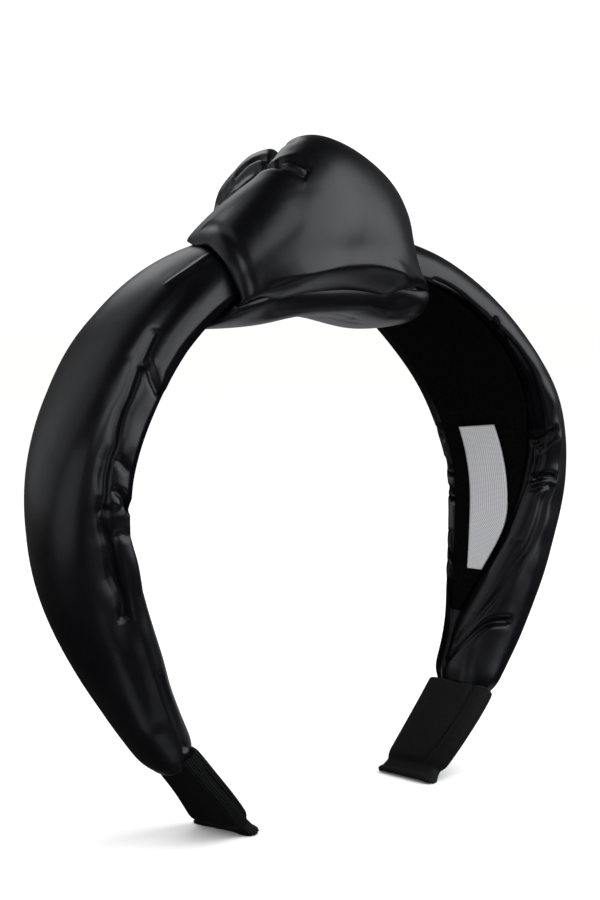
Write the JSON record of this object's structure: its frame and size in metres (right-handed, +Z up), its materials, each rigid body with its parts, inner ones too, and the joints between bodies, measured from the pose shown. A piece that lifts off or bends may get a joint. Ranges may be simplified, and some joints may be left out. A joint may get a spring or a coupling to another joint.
{
  "type": "padded headband",
  "caption": "Wide padded headband with a large twisted knot on its crown, turned-in edges, a lined inside with a bare label, and ribbon-wrapped tips.",
  "frame": {"origin": "on the floor that the two tips stand on, under the middle of the whole headband", "axes": "+X from the left arm to the right arm, +Y from the brow to the nape, +Z up from the tips to the crown"},
  "size_m": [0.1694, 0.0598, 0.1727],
  "materials": {
    "faux_leather": "satin",
    "lining_cloth": "matte",
    "woven_label": "matte",
    "ribbed_ribbon": "satin"
  },
  "bodies": {
    "root": {"left_arm": "faux_leather", "right_arm": "faux_leather", "lining": "lining_cloth", "label": "woven_label", "knot_wrap": "faux_leather", "knot_fold": "faux_leather", "knot_roll": "faux_leather", "left_end": "ribbed_ribbon", "right_end": "ribbed_ribbon"}
  },
  "joints": []
}
